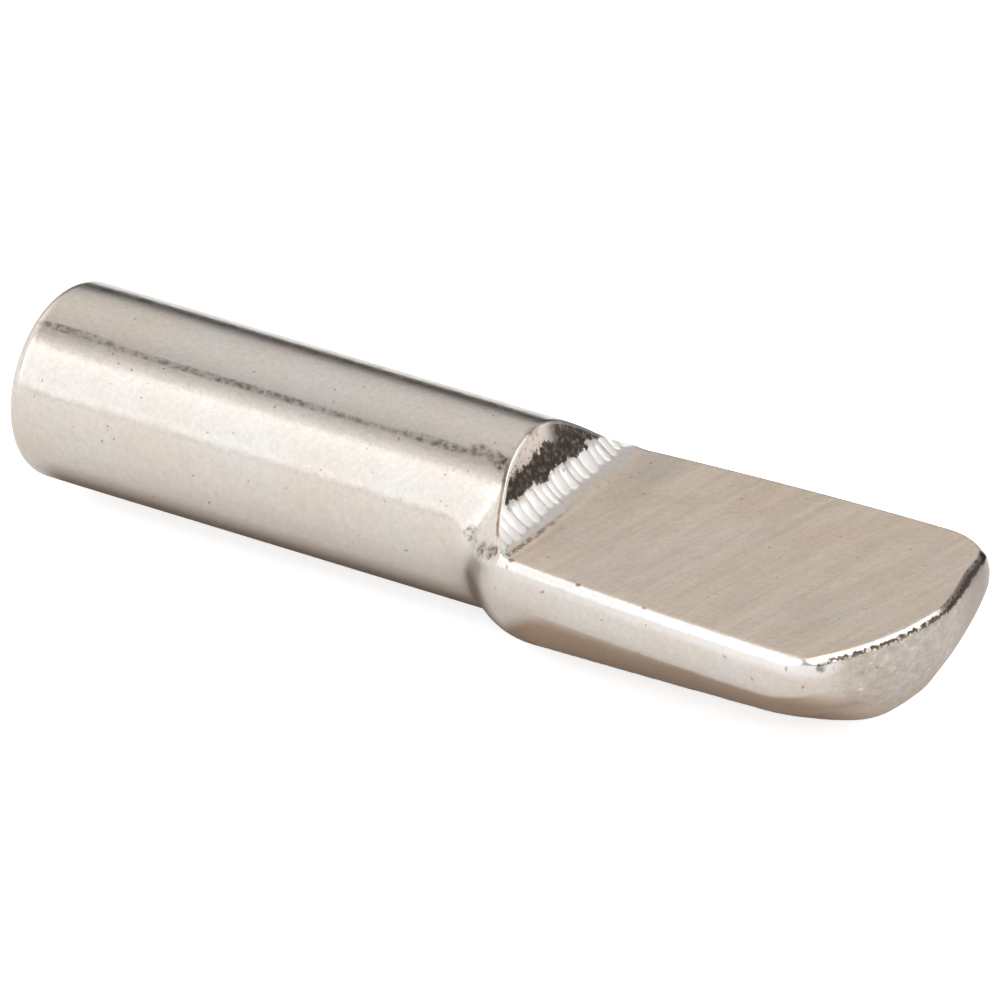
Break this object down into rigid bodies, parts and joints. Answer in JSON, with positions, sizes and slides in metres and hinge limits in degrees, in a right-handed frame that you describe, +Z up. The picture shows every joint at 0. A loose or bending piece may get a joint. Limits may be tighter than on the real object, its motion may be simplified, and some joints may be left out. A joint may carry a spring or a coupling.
{
  "type": "shelf support pin",
  "caption": "Nickel-plated steel shelf support pin: a round shank plugs into a cabinet side and a flattened blade carries the shelf.",
  "frame": {"origin": "on the shank's axis at the mouth of the hole it plugs into, below the top of the shoulder", "axes": "+X along the shank toward the blade's tip, +Z up out of the flat that carries the shelf"},
  "size_m": [0.026, 0.0082, 0.0054],
  "materials": {
    "nickel_plate": "satin nickel plate, slightly warm, with press marks"
  },
  "bodies": {
    "root": {"shelf_pin": "nickel_plate"}
  },
  "joints": []
}
